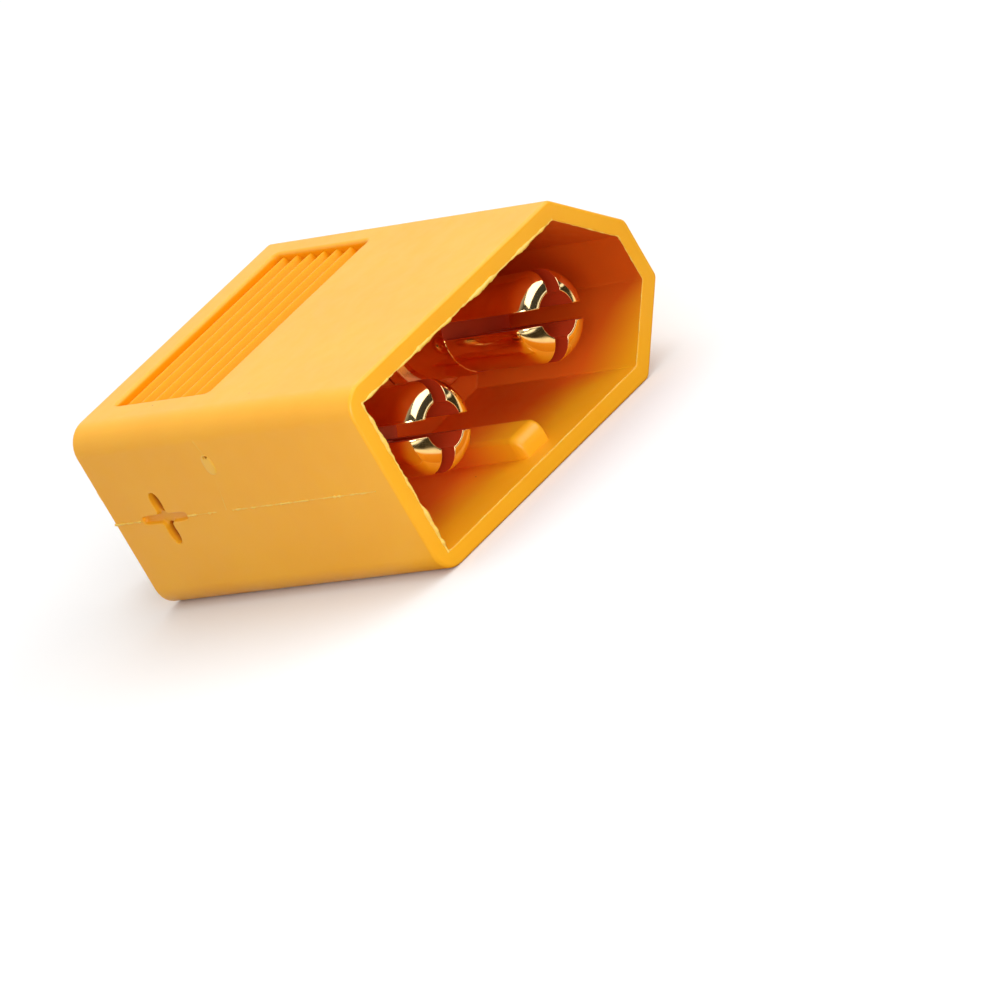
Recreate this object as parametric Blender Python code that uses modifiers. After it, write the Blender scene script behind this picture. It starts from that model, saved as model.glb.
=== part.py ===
"""Two-pin keyed power connector plug: a moulded housing and two turned, slotted pins with solder cups.

The plug lies flat. Its mouth looks along -Y, its solder cups along +Y, the square edges of its
positive side are at -X and the chamfered edges of its negative side at +X. The origin is at the
middle of the whole plug's underside. Units are metres.
"""

from math import atan2, cos, pi, radians, sin, tan

import bmesh
import bpy
from mathutils import Matrix, Vector

MM = 0.001

# Housing
HOUSING_WIDTH = 15.7 * MM
HOUSING_HEIGHT = 8.0 * MM
HOUSING_LENGTH = 16.0 * MM
KEY_CHAMFER = 2.75 * MM
SQUARE_EDGE_ROUND = 1.0 * MM
CHAMFER_EDGE_ROUND = 0.35 * MM
END_EDGE_BEVEL = 0.12 * MM

# Cavity behind the mouth
RIM_WALL = 0.7 * MM
CAVITY_DEPTH = 9.0 * MM
CAVITY_SQUARE_ROUND = 0.15 * MM
CAVITY_CHAMFER_ROUND = 0.12 * MM

# Key rib on the cavity's floor
KEY_RIB_WIDTH = 1.5 * MM
KEY_RIB_HEIGHT = 0.9 * MM
KEY_RIB_OFFSET = -0.35 * MM
KEY_RIB_SETBACK = 0.95 * MM
KEY_RIB_ROUND = 0.4 * MM
KEY_RIB_EDGE_ROUND = 0.15 * MM

# Grip panels sunk into the top and the underside
PANEL_LEFT_MARGIN = 1.95 * MM
PANEL_RIGHT_MARGIN = 3.65 * MM
PANEL_REAR_MARGIN = 1.2 * MM
PANEL_LENGTH = 5.46 * MM
PANEL_DEPTH = 0.6 * MM
GRIP_RIDGES = 7
GRIP_RIDGE_HEIGHT = 0.4 * MM
POINTS_PER_RIDGE = 8

# Pins
PIN_PITCH = 7.2 * MM
PIN_SETBACK = 1.0 * MM
PIN_CROWN_RADIUS = 1.79 * MM
PIN_ROOT_RADIUS = 1.72 * MM
PIN_SHANK_RADIUS = 1.8 * MM
PIN_BORE_RADIUS = 0.9 * MM
PIN_BORE_DEPTH = 3.9 * MM
PIN_SLOT_WIDTH = 0.62 * MM
PIN_SLOT_DEPTH = 4.6 * MM
PIN_SLOT_TURN = radians(-26.5)
DRILL_POINT_ANGLE = radians(59)

# Shoulder that each pin is pressed in up to
COLLAR_RADIUS = 2.22 * MM
COLLAR_PROUD = 0.7 * MM
COLLAR_SEAT_DEPTH = 0.6 * MM
COLLAR_EDGE = 0.1 * MM

# Solder cups
CUP_RADIUS = 1.9 * MM
CUP_WALL = 0.4 * MM
CUP_BORE_DEPTH = 5.0 * MM
CUP_REACH = 3.2 * MM
CUP_EDGE = 0.1 * MM
CUP_FULL_RING = 0.9 * MM
CUP_SLOPE_LENGTH = 1.0 * MM
CUP_SIDE_RISE = 0.25 * MM

# Fits
FIT_GAP = 0.3 * MM
CUT_MARGIN = 1.0 * MM

# Facets
WELD_DISTANCE = 0.005 * MM
ROUND_STEPS = 48
DOME_STEPS = 8
RIB_ROUND_STEPS = 6
EDGE_STEPS = 2
CORNER_STEP = radians(15)
SQUARE_EDGE_ANGLE = radians(60)
FLAT_ANGLE = radians(0.5)
SHARP_ANGLE = radians(35)

# Places that follow from the sizes
TOTAL_LENGTH = HOUSING_LENGTH + CUP_REACH
MOUTH_Y = -TOTAL_LENGTH / 2
HOUSING_REAR_Y = MOUTH_Y + HOUSING_LENGTH
CAVITY_BACK_Y = MOUTH_Y + CAVITY_DEPTH
HALF_WIDTH = HOUSING_WIDTH / 2
MID_HEIGHT = HOUSING_HEIGHT / 2
CUP_BORE_RADIUS = CUP_RADIUS - CUP_WALL

STAND_UP = (radians(90), 0.0, 0.0)
LAY_ALONG_X = (radians(90), 0.0, radians(90))


def clear_scene():
    """Removes every object of the open scene."""
    for obj in list(bpy.data.objects):
        bpy.data.objects.remove(obj, do_unlink=True)


def new_collection(name):
    """A collection linked to the scene."""
    collection = bpy.data.collections.new(name)
    bpy.context.scene.collection.children.link(collection)
    return collection


def make_material(name, colour, roughness, metallic):
    """A plain Principled material."""
    material = bpy.data.materials.new(name)
    material.use_nodes = True
    shader = material.node_tree.nodes["Principled BSDF"]
    shader.inputs["Base Color"].default_value = (*colour, 1.0)
    shader.inputs["Roughness"].default_value = roughness
    shader.inputs["Metallic"].default_value = metallic
    material.diffuse_color = (*colour, 1.0)
    return material


def place(obj, location, rotation):
    """Sets an object's place and turn."""
    obj.location = location
    obj.rotation_euler = rotation
    return obj


def add_mesh_object(name, mesh, collection):
    """An object for a mesh, linked to a collection."""
    obj = bpy.data.objects.new(name, mesh)
    collection.objects.link(obj)
    return obj


def evaluated_mesh(obj):
    """A mesh of what an object's curve or modifiers make."""
    bpy.context.view_layer.update()
    depsgraph = bpy.context.evaluated_depsgraph_get()
    return bpy.data.meshes.new_from_object(obj.evaluated_get(depsgraph))


def rounded_outline(corners):
    """Points of a closed outline whose corners, each x, y and radius, are rounded by arcs."""
    points = []
    for index, (x, y, radius) in enumerate(corners):
        corner = Vector((x, y))
        before = (Vector(corners[index - 1][:2]) - corner).normalized()
        after = (Vector(corners[(index + 1) % len(corners)][:2]) - corner).normalized()
        half_angle = before.angle(after) / 2
        centre = corner + (before + after).normalized() * (radius / sin(half_angle))
        reach = radius / tan(half_angle)
        start = corner + before * reach - centre
        end = corner + after * reach - centre
        first = atan2(start.y, start.x)
        turn = (atan2(end.y, end.x) - first + pi) % (2 * pi) - pi
        steps = max(1, round(abs(turn) / CORNER_STEP))
        for step in range(steps + 1):
            angle = first + turn * step / steps
            points.append((centre.x + radius * cos(angle), centre.y + radius * sin(angle)))
    return points


def extruded_outline(name, points, length, collection):
    """A solid with a flat outline in its own XY plane, extruded along its own Z, middle at zero.

    The outline is drawn in millimetres and then scaled, because a curve's fill needs large numbers.
    """
    curve = bpy.data.curves.new(name, "CURVE")
    curve.dimensions = "2D"
    curve.fill_mode = "BOTH"
    curve.extrude = length / 2 / MM
    spline = curve.splines.new("POLY")
    spline.points.add(len(points) - 1)
    for point, (x, y) in zip(spline.points, points):
        point.co = (x / MM, y / MM, 0.0, 1.0)
    spline.use_cyclic_u = True
    drawing = add_mesh_object(name, curve, collection)
    mesh = evaluated_mesh(drawing)
    bpy.data.objects.remove(drawing)
    bpy.data.curves.remove(curve)
    mesh.transform(Matrix.Scale(MM, 4))
    weld_and_orient(mesh)
    return add_mesh_object(name, mesh, collection)


def weld_and_orient(mesh):
    """Merges a mesh's doubled corners, joins its flat faces and turns its faces outwards."""
    bm = bmesh.new()
    bm.from_mesh(mesh)
    bmesh.ops.remove_doubles(bm, verts=bm.verts, dist=WELD_DISTANCE)
    bmesh.ops.dissolve_limit(bm, angle_limit=FLAT_ANGLE, verts=bm.verts, edges=bm.edges)
    bmesh.ops.recalc_face_normals(bm, faces=bm.faces)
    bm.to_mesh(mesh)
    bm.free()
    mesh.shade_smooth()
    mesh.set_sharp_from_angle(angle=SHARP_ANGLE)


def turned_solid(name, profile, collection):
    """A solid turned about its own Z from a profile of radius and height, outer side top to bottom."""
    mesh = bpy.data.meshes.new(name)
    bm = bmesh.new()
    verts = [bm.verts.new((radius, 0.0, height)) for radius, height in profile]
    for first, second in zip(verts, verts[1:]):
        bm.edges.new((first, second))
    bm.to_mesh(mesh)
    bm.free()
    drawing = add_mesh_object(name, mesh, collection)
    screw = drawing.modifiers.new("turn", "SCREW")
    screw.axis = "Z"
    screw.steps = ROUND_STEPS
    screw.render_steps = ROUND_STEPS
    screw.use_merge_vertices = True
    screw.merge_threshold = WELD_DISTANCE
    turned = evaluated_mesh(drawing)
    bpy.data.objects.remove(drawing)
    bpy.data.meshes.remove(mesh)
    turned.shade_smooth()
    turned.set_sharp_from_angle(angle=SHARP_ANGLE)
    return add_mesh_object(name, turned, collection)


def add_cylinder(name, radius, length, collection):
    """A cylinder along its own Z, middle at zero."""
    mesh = bpy.data.meshes.new(name)
    bm = bmesh.new()
    bmesh.ops.create_cone(
        bm, cap_ends=True, segments=ROUND_STEPS, radius1=radius, radius2=radius, depth=length
    )
    bm.to_mesh(mesh)
    bm.free()
    return add_mesh_object(name, mesh, collection)


def as_tool(obj):
    """Marks an object as a cutter or a joining shape, which isn't part of the plug."""
    obj.hide_render = True
    obj.display_type = "WIRE"
    return obj


def add_boolean(target, tool, operation):
    """Cuts a tool out of a target, or joins it on."""
    boolean = target.modifiers.new(tool.name, "BOOLEAN")
    boolean.operation = operation
    boolean.solver = "EXACT"
    boolean.object = as_tool(tool)


def round_edges(obj, width):
    """Rounds the edges where an object's faces stand square to each other."""
    bevel = obj.modifiers.new("rounded_edges", "BEVEL")
    bevel.width = width
    bevel.segments = EDGE_STEPS
    bevel.limit_method = "ANGLE"
    bevel.angle_limit = SQUARE_EDGE_ANGLE


def plug_section(inset, square_round, chamfer_round):
    """The plug's outline seen from the mouth, moved inwards by inset: square at -X, chamfered at +X."""
    chamfer = KEY_CHAMFER - inset * (1 - tan(pi / 8))
    left, right = inset - HALF_WIDTH, HALF_WIDTH - inset
    low, high = inset, HOUSING_HEIGHT - inset
    return rounded_outline([
        (left, low, square_round),
        (right - chamfer, low, chamfer_round),
        (right, low + chamfer, chamfer_round),
        (right, high - chamfer, chamfer_round),
        (right - chamfer, high, chamfer_round),
        (left, high, square_round),
    ])


def build_housing(collection, tools):
    """The moulded housing, cut and joined from its outline."""
    outline = plug_section(0.0, SQUARE_EDGE_ROUND, CHAMFER_EDGE_ROUND)
    housing = extruded_outline("housing", outline, HOUSING_LENGTH, collection)
    place(housing, (0.0, MOUTH_Y + HOUSING_LENGTH / 2, 0.0), STAND_UP)

    round_edges(housing, END_EDGE_BEVEL)
    add_boolean(housing, cavity_tool(tools), "DIFFERENCE")
    add_boolean(housing, key_rib_tool(tools), "UNION")
    for side, surface, inwards in (("top", HOUSING_HEIGHT, -1), ("underside", 0.0, 1)):
        add_boolean(housing, grip_panel_tool(side, surface, inwards, tools), "DIFFERENCE")
    for side in (-1, 1):
        add_boolean(housing, seat_tool(side, tools), "DIFFERENCE")
        add_boolean(housing, passage_tool(side, tools), "DIFFERENCE")
    return housing


def cavity_tool(tools):
    """The hollow behind the mouth, whose walls all have the rim's thickness."""
    outline = plug_section(RIM_WALL, CAVITY_SQUARE_ROUND, CAVITY_CHAMFER_ROUND)
    tool = extruded_outline("cavity", outline, CAVITY_DEPTH + CUT_MARGIN, tools)
    return place(tool, (0.0, CAVITY_BACK_Y - (CAVITY_DEPTH + CUT_MARGIN) / 2, 0.0), STAND_UP)


def key_rib_tool(tools):
    """The rib along the cavity's floor, with rounded edges, rooted in the floor and the back wall."""
    root = RIM_WALL / 2
    nose = MOUTH_Y + KEY_RIB_SETBACK
    rear = CAVITY_BACK_Y + root
    top = RIM_WALL + KEY_RIB_HEIGHT
    outline = [(rear, root), (nose, root)]
    for step in range(RIB_ROUND_STEPS + 1):
        angle = pi / 2 * step / RIB_ROUND_STEPS
        along = nose + KEY_RIB_ROUND * (1 - cos(angle))
        outline.append((along, top - KEY_RIB_ROUND * (1 - sin(angle))))
    outline.append((rear, top))
    tool = extruded_outline("key_rib", outline, KEY_RIB_WIDTH, tools)
    round_edges(tool, KEY_RIB_EDGE_ROUND)
    return place(tool, (KEY_RIB_OFFSET, 0.0, 0.0), LAY_ALONG_X)


def grip_panel_tool(side, surface, inwards, tools):
    """The sunk panel on one face, between its margins, with rounded ridges across its floor.

    surface is the height of the face that it is sunk into, inwards is -1 from above or 1 from below.
    """
    width = HOUSING_WIDTH - PANEL_LEFT_MARGIN - PANEL_RIGHT_MARGIN
    middle = (PANEL_LEFT_MARGIN - PANEL_RIGHT_MARGIN) / 2
    front = HOUSING_REAR_Y - PANEL_REAR_MARGIN - PANEL_LENGTH

    name = f"grip_panel_{side}"
    mesh = bpy.data.meshes.new(name)
    bm = bmesh.new()
    rows = GRIP_RIDGES * POINTS_PER_RIDGE
    bmesh.ops.create_grid(bm, x_segments=1, y_segments=rows, size=0.5)
    for vert in bm.verts:
        along = vert.co.y + 0.5
        ridge = GRIP_RIDGE_HEIGHT * (0.5 - 0.5 * cos(2 * pi * GRIP_RIDGES * along))
        floor = surface + inwards * (PANEL_DEPTH - ridge)
        vert.co = (middle + width * vert.co.x, front + PANEL_LENGTH * along, floor)
    mouth = bmesh.ops.extrude_face_region(bm, geom=bm.faces[:])
    for vert in mouth["geom"]:
        if isinstance(vert, bmesh.types.BMVert):
            vert.co.z = surface - inwards * CUT_MARGIN
    bmesh.ops.recalc_face_normals(bm, faces=bm.faces)
    bm.to_mesh(mesh)
    bm.free()
    return add_mesh_object(name, mesh, tools)


def seat_tool(side, tools):
    """The pocket in the cavity's back wall that a pin's collar sits in."""
    length = COLLAR_SEAT_DEPTH + FIT_GAP + CUT_MARGIN
    rear = CAVITY_BACK_Y + COLLAR_SEAT_DEPTH + FIT_GAP
    tool = add_cylinder(f"collar_seat_{side}", COLLAR_RADIUS + FIT_GAP, length, tools)
    return place(tool, (side * PIN_PITCH / 2, rear - length / 2, MID_HEIGHT), STAND_UP)


def passage_tool(side, tools):
    """The hole through the back of the housing that a solder cup passes."""
    front = CAVITY_BACK_Y - CUT_MARGIN
    rear = HOUSING_REAR_Y + CUT_MARGIN
    tool = add_cylinder(f"cup_passage_{side}", CUP_RADIUS + FIT_GAP, rear - front, tools)
    return place(tool, (side * PIN_PITCH / 2, (front + rear) / 2, MID_HEIGHT), STAND_UP)


def contact_profile():
    """A contact's section as radius and height, from the pin's bore round the outside to the cup's bore.

    Height is zero at the mouth and falls towards the solder cup.
    """
    tip = -PIN_SETBACK
    bore_floor = tip - PIN_BORE_DEPTH
    dome = PIN_CROWN_RADIUS - PIN_BORE_RADIUS
    slot_root = tip - PIN_SLOT_DEPTH
    step = PIN_SHANK_RADIUS - PIN_ROOT_RADIUS
    collar_front = COLLAR_PROUD - CAVITY_DEPTH
    collar_rear = -CAVITY_DEPTH - COLLAR_SEAT_DEPTH
    cup_end = -TOTAL_LENGTH
    cup_floor = cup_end + CUP_BORE_DEPTH

    profile = [(0.0, bore_floor - PIN_BORE_RADIUS / tan(DRILL_POINT_ANGLE))]
    profile.append((PIN_BORE_RADIUS, bore_floor))
    for index in range(DOME_STEPS + 1):
        angle = pi / 2 * index / DOME_STEPS
        profile.append((PIN_BORE_RADIUS + dome * sin(angle), tip - dome * (1 - cos(angle))))
    profile += [
        (PIN_ROOT_RADIUS, slot_root),
        (PIN_SHANK_RADIUS, slot_root - step),
        (PIN_SHANK_RADIUS, collar_front),
        (COLLAR_RADIUS - COLLAR_EDGE, collar_front),
        (COLLAR_RADIUS, collar_front - COLLAR_EDGE),
        (COLLAR_RADIUS, collar_rear),
        (CUP_RADIUS, collar_rear),
        (CUP_RADIUS, cup_end + CUP_EDGE),
        (CUP_RADIUS - CUP_EDGE, cup_end),
        (CUP_BORE_RADIUS, cup_end),
        (CUP_BORE_RADIUS, cup_floor),
        (0.0, cup_floor + CUP_BORE_RADIUS / tan(DRILL_POINT_ANGLE)),
    ]
    return profile


def slots_tool(name, tools):
    """The two crossed saw cuts that part a pin's tip into four petals."""
    near = PIN_SLOT_WIDTH / 2
    far = PIN_CROWN_RADIUS + CUT_MARGIN
    arm = [(near, near), (near, far), (-near, far)]
    outline = []
    for quarter in range(4):
        turn = Matrix.Rotation(quarter * pi / 2, 2)
        outline += [turn @ Vector(point) for point in arm]
    length = PIN_SLOT_DEPTH + CUT_MARGIN
    tool = extruded_outline(name, outline, length, tools)
    location = (0.0, 0.0, CUT_MARGIN - PIN_SETBACK - length / 2)
    return place(tool, location, (0.0, 0.0, PIN_SLOT_TURN))


def scoop_tool(name, tools):
    """The opening in the upper half of a solder cup, with a sloped front."""
    front = HOUSING_LENGTH + CUP_FULL_RING
    high = CUP_RADIUS + CUT_MARGIN
    slope = CUP_SLOPE_LENGTH / (CUP_RADIUS - CUP_SIDE_RISE)
    end = TOTAL_LENGTH + CUT_MARGIN
    outline = [
        (front - slope * CUT_MARGIN, high),
        (front + CUP_SLOPE_LENGTH, CUP_SIDE_RISE),
        (end, CUP_SIDE_RISE),
        (end, high),
    ]
    tool = extruded_outline(name, outline, 2 * high, tools)
    return place(tool, (0.0, 0.0, 0.0), (0.0, radians(90), 0.0))


def build_contact(name, side, collection, tools):
    """One contact: a slotted pin, its collar and its solder cup, turned in one piece."""
    contact = turned_solid(name, contact_profile(), collection)
    place(contact, (side * PIN_PITCH / 2, MOUTH_Y, MID_HEIGHT), STAND_UP)
    for cut in (slots_tool(f"{name}_slots", tools), scoop_tool(f"{name}_scoop", tools)):
        cut.parent = contact
        add_boolean(contact, cut, "DIFFERENCE")
    return contact


def main():
    """Builds the plug."""
    clear_scene()
    plug = new_collection("power_plug")
    tools = new_collection("cutters")
    nylon = make_material("amber_nylon", (0.95, 0.50, 0.06), 0.42, 0.0)
    gold = make_material("gold_plate", (0.94, 0.66, 0.27), 0.16, 1.0)

    housing = build_housing(plug, tools)
    housing.data.materials.append(nylon)
    for name, side in (("contact_positive", -1), ("contact_negative", 1)):
        contact = build_contact(name, side, plug, tools)
        contact.data.materials.append(gold)


main()
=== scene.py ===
"""Looks of a keyed two-pin power connector plug: amber nylon housing, gold-plated turned contacts.

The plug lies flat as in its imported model: mouth along -Y, solder cups along +Y, the square positive
side at -X and the chamfered negative side at +X. Sizes are written in millimetres, used in metres.
"""
import logging
from dataclasses import dataclass, replace
from enum import Enum
from math import asin, atan2, copysign, cos, pi, radians, sin, tan
from typing import Sequence

import bmesh
import bpy
from mathutils import Matrix, Vector


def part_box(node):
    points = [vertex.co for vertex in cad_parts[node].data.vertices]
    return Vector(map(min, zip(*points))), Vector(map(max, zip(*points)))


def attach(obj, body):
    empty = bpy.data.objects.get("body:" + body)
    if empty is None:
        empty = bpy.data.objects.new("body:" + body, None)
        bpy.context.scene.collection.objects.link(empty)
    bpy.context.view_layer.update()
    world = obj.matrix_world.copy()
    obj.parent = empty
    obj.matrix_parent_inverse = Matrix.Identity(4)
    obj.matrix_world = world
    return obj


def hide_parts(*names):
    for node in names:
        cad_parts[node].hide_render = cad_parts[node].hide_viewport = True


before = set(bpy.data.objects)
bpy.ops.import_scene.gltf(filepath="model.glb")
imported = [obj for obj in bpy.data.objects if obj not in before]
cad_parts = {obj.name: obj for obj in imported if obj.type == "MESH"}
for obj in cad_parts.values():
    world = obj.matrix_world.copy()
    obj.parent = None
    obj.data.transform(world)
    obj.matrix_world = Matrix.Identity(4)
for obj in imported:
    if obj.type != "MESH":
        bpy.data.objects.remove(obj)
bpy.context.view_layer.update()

MM = 0.001
BODY = "root"
HOUSING_NODE = "housing"
WELD_DISTANCE = 0.0005 * MM
# How far cutters and joined forms reach past the face that they meet.
BITE = 0.25 * MM
SHARP_ANGLE = radians(38)
FLAT_FACE_WEIGHT = 80
# Tangent of half the turn where a side meets a chamfer.
CHAMFER_LEAN = tan(pi / 8)
WHOLE = (0.0, 1.0)
NOISE_CORE = (0.3, 0.7)
DARK = (0.03, 0.025, 0.015)
PALE = (0.9, 0.9, 0.88)

Colour = tuple[float, float, float]
Point = tuple[float, float]
Ring = list[Vector]
Piece = bpy.types.Object
Signal = bpy.types.NodeSocket

LOG = logging.getLogger("power_plug")


class MaterialSlot(Enum):
    """The record's material slots."""

    NYLON = "nylon"
    GOLD = "gold_plated_brass"


class Pole(Enum):
    """The plug's two poles, with the side of the middle that each stands on."""

    POSITIVE = -1
    NEGATIVE = 1

    @property
    def node(self) -> str:
        """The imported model's node for this pole's contact."""
        return f"contact_{self.name.lower()}"


class Face(Enum):
    """A broad face with a grip panel."""

    TOP = "top"
    UNDERSIDE = "underside"


class Socket(Enum):
    """Kinds of input of a Geometry Nodes tree."""

    LENGTH = "NodeSocketFloat"
    COUNT = "NodeSocketInt"
    SHAPE = "NodeSocketGeometry"
    PIECE = "NodeSocketObject"
    MATERIAL = "NodeSocketMaterial"


@dataclass(frozen=True)
class PlugSpace:
    """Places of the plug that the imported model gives."""

    half_width: float
    height: float
    mouth_y: float
    rear_y: float
    tip_y: float
    cup_end_y: float
    pin_x: float

    @classmethod
    def from_frame(cls) -> "PlugSpace":
        """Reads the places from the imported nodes' boxes.

        Returns:
            The places in metres.
        """
        low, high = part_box(HOUSING_NODE)
        contact_low, contact_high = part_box(Pole.NEGATIVE.node)
        return cls(
            half_width=(high.x - low.x) / 2,
            height=high.z,
            mouth_y=low.y,
            rear_y=high.y,
            tip_y=contact_low.y,
            cup_end_y=contact_high.y,
            pin_x=(contact_low.x + contact_high.x) / 2,
        )

    @property
    def mid_height(self) -> float:
        """Height of the pins' axes and of the mould's parting plane."""
        return self.height / 2


class NodeGraph:
    """A node tree with short calls to add and link nodes."""

    SPACING = 200

    def __init__(self, tree: bpy.types.NodeTree) -> None:
        """Wraps a tree.

        Args:
            tree: The tree that nodes are added to.
        """
        self.tree = tree

    def add(self, kind: str, inputs: dict | None = None, **settings: object) -> bpy.types.Node:
        """Adds a node.

        Args:
            kind: The node's type name.
            inputs: Socket name or number to a value or to a socket that feeds it.
            settings: Properties of the node.

        Returns:
            The new node.
        """
        node = self.tree.nodes.new(kind)
        node.location = (self.SPACING * len(self.tree.nodes), 0)
        for name, setting in settings.items():
            setattr(node, name, setting)
        self.feed(node, inputs or {})
        return node

    def make(self, kind: str, inputs: dict | None = None, **settings: object) -> Signal:
        """Adds a node and returns its first output."""
        return self.add(kind, inputs, **settings).outputs[0]

    def feed(self, node: bpy.types.Node, inputs: dict) -> None:
        """Sets a node's inputs.

        Args:
            node: The node.
            inputs: Socket name or number to a value or to a socket that feeds it.
        """
        for key, value in inputs.items():
            if isinstance(value, Signal):
                self.tree.links.new(value, node.inputs[key])
            else:
                node.inputs[key].default_value = value

    def math(self, operation: str, *values: float | Signal) -> Signal:
        """Adds a Math node and returns its result."""
        return self.make("ShaderNodeMath", dict(enumerate(values)), operation=operation)

    def weigh(self, first: Signal, weight: float | Signal, second: Signal, other: float | Signal) -> Signal:
        """Adds up two values, each times its own weight."""
        return self.math("MULTIPLY_ADD", first, weight, self.math("MULTIPLY", second, other))

    def split(self, vector: Signal) -> Sequence[Signal]:
        """Adds a node that gives a vector's X, Y and Z."""
        return self.add("ShaderNodeSeparateXYZ", {0: vector}).outputs

    def offset(self, value: Signal, middle: float) -> Signal:
        """Adds nodes for how far a value lies from a middle, to either side."""
        return self.math("ABSOLUTE", self.math("SUBTRACT", value, middle))

    def remap(self, value: Signal, source: Point, target: Point) -> Signal:
        """Maps a value's range onto another, without leaving it.

        Args:
            value: The socket to map.
            source: Low and high end of the value's range.
            target: What the two ends become.

        Returns:
            The mapped value.
        """
        ends = {1: source[0], 2: source[1], 3: target[0], 4: target[1]}
        return self.make("ShaderNodeMapRange", {0: value, **ends})

    def fence(
        self,
        share: Signal,
        below: Sequence[tuple[Signal, float]],
        above: Sequence[tuple[Signal, float]] = (),
    ) -> Signal:
        """Keeps a share where all values are within their limits, and makes it 0 elsewhere.

        Args:
            share: The share.
            below: Values, each with the limit that it stays below.
            above: Values, each with the limit that it stays above.

        Returns:
            The fenced share.
        """
        tests = [self.math("LESS_THAN", value, limit) for value, limit in below]
        tests += [self.math("GREATER_THAN", value, limit) for value, limit in above]
        for test in tests:
            share = self.math("MULTIPLY", share, test)
        return share

    def noise(self, vector: Signal, scale: float, detail: float = 3.0) -> Signal:
        """Adds three-dimensional noise.

        Args:
            vector: Where it is read.
            scale: Lumps for each unit of length.
            detail: How many finer layers it has.

        Returns:
            The noise, from 0 to 1.
        """
        node = self.add("ShaderNodeTexNoise", {"Vector": vector, "Scale": scale, "Detail": detail})
        return node.outputs["Fac"]

    def mix(self, share: Signal, first: Signal | Colour, second: Signal | Colour) -> Signal:
        """Mixes two colours.

        Args:
            share: How much of the second colour shows.
            first: A colour or a socket.
            second: A colour or a socket.

        Returns:
            The mixed colour.
        """
        ends = {
            index: colour if isinstance(colour, Signal) else (*colour, 1.0)
            for index, colour in ((6, first), (7, second))
        }
        return self.add("ShaderNodeMix", {0: share, **ends}, data_type="RGBA").outputs[2]


class FinishGraph(NodeGraph):
    """The nodes of a new material, with its shader and the place on its piece."""

    def __init__(self, name: str) -> None:
        """Makes the material.

        Args:
            name: The material's name.
        """
        self.material = bpy.data.materials.new(name)
        self.material.use_nodes = True
        super().__init__(self.material.node_tree)
        self.shader = self.tree.nodes["Principled BSDF"]
        self.place = self.add("ShaderNodeTexCoord").outputs["Object"]

    def relief(self, height: Signal, strength: float, depth: float) -> Signal:
        """Adds a fine relief and returns the normal that it gives."""
        inputs = {"Strength": strength, "Distance": depth, "Height": height}
        return self.make("ShaderNodeBump", inputs)


class GeometryTree(NodeGraph):
    """A Geometry Nodes tree with named inputs that ends in real, dressed geometry."""

    def __init__(self, name: str) -> None:
        """Makes an empty tree with one geometry output.

        Args:
            name: The tree's name.
        """
        super().__init__(bpy.data.node_groups.new(name, "GeometryNodeTree"))
        self.tree.interface.new_socket(
            name="Geometry", in_out="OUTPUT", socket_type=Socket.SHAPE.value
        )
        self.entry = self.add("NodeGroupInput")
        self.exit = self.add("NodeGroupOutput")
        self.identifiers: dict[str, str] = {}

    def input(self, name: str, kind: Socket) -> Signal:
        """Adds a named input.

        Args:
            name: The input's name.
            kind: What it takes.

        Returns:
            The socket inside the tree.
        """
        item = self.tree.interface.new_socket(name=name, in_out="INPUT", socket_type=kind.value)
        self.identifiers[name] = item.identifier
        return self.entry.outputs[name]

    def inputs(self, kind: Socket, *names: str) -> list[Signal]:
        """Adds several named inputs of one kind."""
        return [self.input(name, kind) for name in names]

    def end(self, geometry: Signal) -> None:
        """Makes instances real, gives them the material input and closes the tree.

        Args:
            geometry: What the tree has made.
        """
        material = self.input("Material", Socket.MATERIAL)
        real = self.make("GeometryNodeRealizeInstances", {0: geometry})
        dressed = self.make("GeometryNodeSetMaterial", {"Geometry": real, "Material": material})
        self.feed(self.exit, {0: dressed})

    def run(self, name: str, values: dict, carrier: bpy.types.Mesh | None = None) -> Piece:
        """Evaluates the tree and keeps its result as a plain mesh.

        Args:
            name: Name of the new object.
            values: Input name to value.
            carrier: The mesh that the tree's geometry input reads, if it has one.

        Returns:
            The object, with no modifier.
        """
        obj = add_object(name, carrier or bpy.data.meshes.new(name))
        modifier = obj.modifiers.new(self.tree.name, "NODES")
        modifier.node_group = self.tree
        for key, value in values.items():
            modifier[self.identifiers[key]] = value
        return settle(obj)


def add_object(name: str, mesh: bpy.types.Mesh) -> Piece:
    """Links a new object for a mesh to the scene.

    Args:
        name: The object's name.
        mesh: Its mesh.

    Returns:
        The object.
    """
    obj = bpy.data.objects.new(name, mesh)
    bpy.context.scene.collection.objects.link(obj)
    return obj


def settle(obj: Piece) -> Piece:
    """Replaces an object's mesh and modifiers by the plain mesh that they make.

    Args:
        obj: The object.

    Returns:
        The same object.
    """
    bpy.context.view_layer.update()
    mesh = bpy.data.meshes.new_from_object(
        obj.evaluated_get(bpy.context.evaluated_depsgraph_get())
    )
    old = obj.data
    obj.modifiers.clear()
    obj.data = mesh
    bpy.data.meshes.remove(old)
    mesh.name = obj.name
    return obj


def discard(*objects: Piece) -> None:
    """Removes objects and their meshes.

    Args:
        objects: The objects.
    """
    for obj in objects:
        mesh = obj.data
        bpy.data.objects.remove(obj)
        bpy.data.meshes.remove(mesh)


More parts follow.
